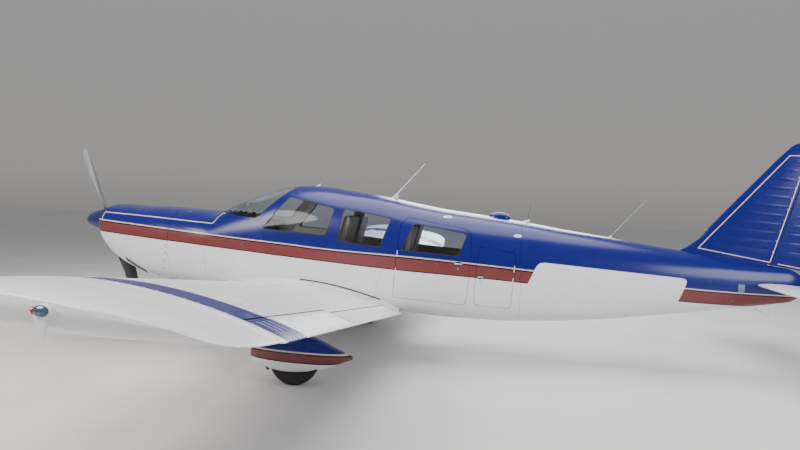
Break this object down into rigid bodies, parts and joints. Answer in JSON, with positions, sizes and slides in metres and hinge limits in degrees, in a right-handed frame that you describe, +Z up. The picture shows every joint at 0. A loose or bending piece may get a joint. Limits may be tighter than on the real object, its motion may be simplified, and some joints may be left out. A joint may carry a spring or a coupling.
{
  "type": "light aircraft",
  "caption": "Low-wing single-engine light aeroplane with fixed tricycle gear in faired pants, opening doors, working control surfaces, white with blue and copper.",
  "frame": {"origin": "on the ground under the middle of the aeroplane's overall box", "axes": "+X points aft to the tail, +Y to the right-hand wing tip, +Z up; the aeroplane stands level on its three tyres"},
  "size_m": [8.4429, 9.9864, 2.4103],
  "materials": {
    "white_paint": "gloss",
    "blue_paint": "gloss",
    "pant_paint": "gloss",
    "white_plastic": "gloss",
    "engine_metal": "matte",
    "gear_metal": "satin",
    "wheel_metal": "satin",
    "propeller_metal": "satin",
    "spinner_metal": "gloss",
    "glazing": "gloss",
    "red_lens": "gloss",
    "tyre": "matte",
    "upholstery": "matte",
    "carpet": "matte",
    "panel_plastic": "matte"
  },
  "bodies": {
    "airframe": {"cowl_upper": "blue_paint", "cowl_lower": "white_paint", "engine_block": "engine_metal", "exhaust": "gear_metal", "nose_section": "white_paint", "cabin_shell": "white_paint", "cabin_floor": "carpet", "instrument_panel": "panel_plastic", "front_left_seat": "upholstery", "front_right_seat": "upholstery", "middle_seats": "upholstery", "rear_seats": "upholstery", "windshield": "glazing", "left_cockpit_window": "glazing", "left_middle_window": "glazing", "right_middle_window": "glazing", "right_rear_window": "glazing", "tailcone": "white_paint", "fin": "blue_paint", "beacon": "red_lens", "roof_antenna": "white_plastic", "roof_scoop": "blue_paint", "left_wing": "white_paint", "left_wing_tip": "white_plastic", "right_wing": "white_paint", "right_wing_tip": "white_plastic", "left_main_leg": "gear_metal", "right_main_leg": "gear_metal", "left_wheel_pant": "pant_paint", "right_wheel_pant": "pant_paint", "nose_leg": "gear_metal"},
    "propeller": {"propeller": "propeller_metal", "spinner": "spinner_metal"},
    "nose_gear": {"nose_fork": "gear_metal", "nose_wheel_pant": "pant_paint"},
    "nose_wheel": {"nose_tyre": "tyre", "nose_hub": "wheel_metal"},
    "left_wheel": {"left_tyre": "tyre", "left_hub": "wheel_metal"},
    "right_wheel": {"right_tyre": "tyre", "right_hub": "wheel_metal"},
    "left_aileron": {"left_aileron": "white_paint"},
    "right_aileron": {"right_aileron": "white_paint"},
    "left_flap": {"left_flap": "white_paint"},
    "right_flap": {"right_flap": "white_paint"},
    "rudder": {"rudder": "blue_paint"},
    "stabilator": {"stabilator": "white_paint"},
    "stabilator_tab": {"stabilator_tab": "white_paint"},
    "front_door": {"front_door": "white_paint", "front_door_window": "glazing"},
    "rear_door": {"rear_door": "white_paint", "rear_door_window": "glazing"},
    "utility_door": {"utility_door": "white_paint"},
    "nose_baggage_door": {"nose_baggage_door": "white_paint"}
  },
  "joints": [
    {"name": "propeller_spin", "type": "hinge", "parent": "airframe", "child": "propeller", "pos_m": [-3.93188, 0, 1.352], "axis": [1, 0, 0], "continuous": true},
    {"name": "nose_steer", "type": "hinge", "parent": "airframe", "child": "nose_gear", "pos_m": [-3.7236, 0, 1.01], "axis": [-0.307, 0, 0.9517], "range_deg": [-30, 30]},
    {"name": "nose_wheel_spin", "type": "hinge", "parent": "nose_gear", "child": "nose_wheel", "pos_m": [-3.4696, 0, 0.2225], "axis": [0, 1, 0], "continuous": true},
    {"name": "left_wheel_spin", "type": "hinge", "parent": "airframe", "child": "left_wheel", "pos_m": [-1.08962, -1.6105, 0.2225], "axis": [0, 1, 0], "continuous": true},
    {"name": "right_wheel_spin", "type": "hinge", "parent": "airframe", "child": "right_wheel", "pos_m": [-1.08962, 1.6105, 0.2225], "axis": [0, 1, 0], "continuous": true},
    {"name": "left_aileron_hinge", "type": "hinge", "parent": "airframe", "child": "left_aileron", "pos_m": [-0.51921, -3.50544, 0.91982], "axis": [0, -0.9927, 0.1205], "range_deg": [-15, 30]},
    {"name": "right_aileron_hinge", "type": "hinge", "parent": "airframe", "child": "right_aileron", "pos_m": [-0.51921, 3.50544, 0.91982], "axis": [0, -0.9927, -0.1205], "range_deg": [-15, 30]},
    {"name": "left_flap_hinge", "type": "hinge", "parent": "airframe", "child": "left_flap", "pos_m": [-0.47172, -1.7135, 0.69476], "axis": [0, 0.9927, -0.1205], "range_deg": [0, 40]},
    {"name": "right_flap_hinge", "type": "hinge", "parent": "airframe", "child": "right_flap", "pos_m": [-0.47172, 1.7135, 0.69476], "axis": [0, 0.9927, 0.1205], "range_deg": [0, 40]},
    {"name": "rudder_hinge", "type": "hinge", "parent": "airframe", "child": "rudder", "pos_m": [3.45698, 0, 1.12], "axis": [0.2708, 0, 0.9626], "range_deg": [-27, 27]},
    {"name": "stabilator_hinge", "type": "hinge", "parent": "airframe", "child": "stabilator", "pos_m": [3.4775, 0, 0.92235], "axis": [0, -1, 0], "range_deg": [-2, 16]},
    {"name": "stabilator_tab_hinge", "type": "hinge", "parent": "stabilator", "child": "stabilator_tab", "pos_m": [3.96007, 0, 0.88522], "axis": [0, -1, 0], "range_deg": [-1.5, 12]},
    {"name": "front_door_hinge", "type": "hinge", "parent": "airframe", "child": "front_door", "pos_m": [-1.86673, 0.62435, 1.101], "axis": [0.0769, -0.0469, 0.9959], "range_deg": [0, 75]},
    {"name": "rear_door_hinge", "type": "hinge", "parent": "airframe", "child": "rear_door", "pos_m": [-0.35175, -0.61635, 1.065], "axis": [-0.0776, -0.0355, -0.9964], "range_deg": [0, 85]},
    {"name": "utility_door_hinge", "type": "hinge", "parent": "airframe", "child": "utility_door", "pos_m": [0.83443, -0.5015, 0.896], "axis": [0.0758, 0.0211, 0.9969], "range_deg": [0, 95]},
    {"name": "nose_baggage_door_hinge", "type": "hinge", "parent": "airframe", "child": "nose_baggage_door", "pos_m": [-2.66442, 0.515, 1.36], "axis": [0.9913, 0.0961, -0.0901], "range_deg": [0, 80]}
  ],
  "couplings": [
    {"joint": "right_flap_hinge", "follows": "left_flap_hinge", "ratio": 1},
    {"joint": "rudder_hinge", "follows": "nose_steer", "ratio": -0.9},
    {"joint": "stabilator_tab_hinge", "follows": "stabilator_hinge", "ratio": 0.75}
  ]
}
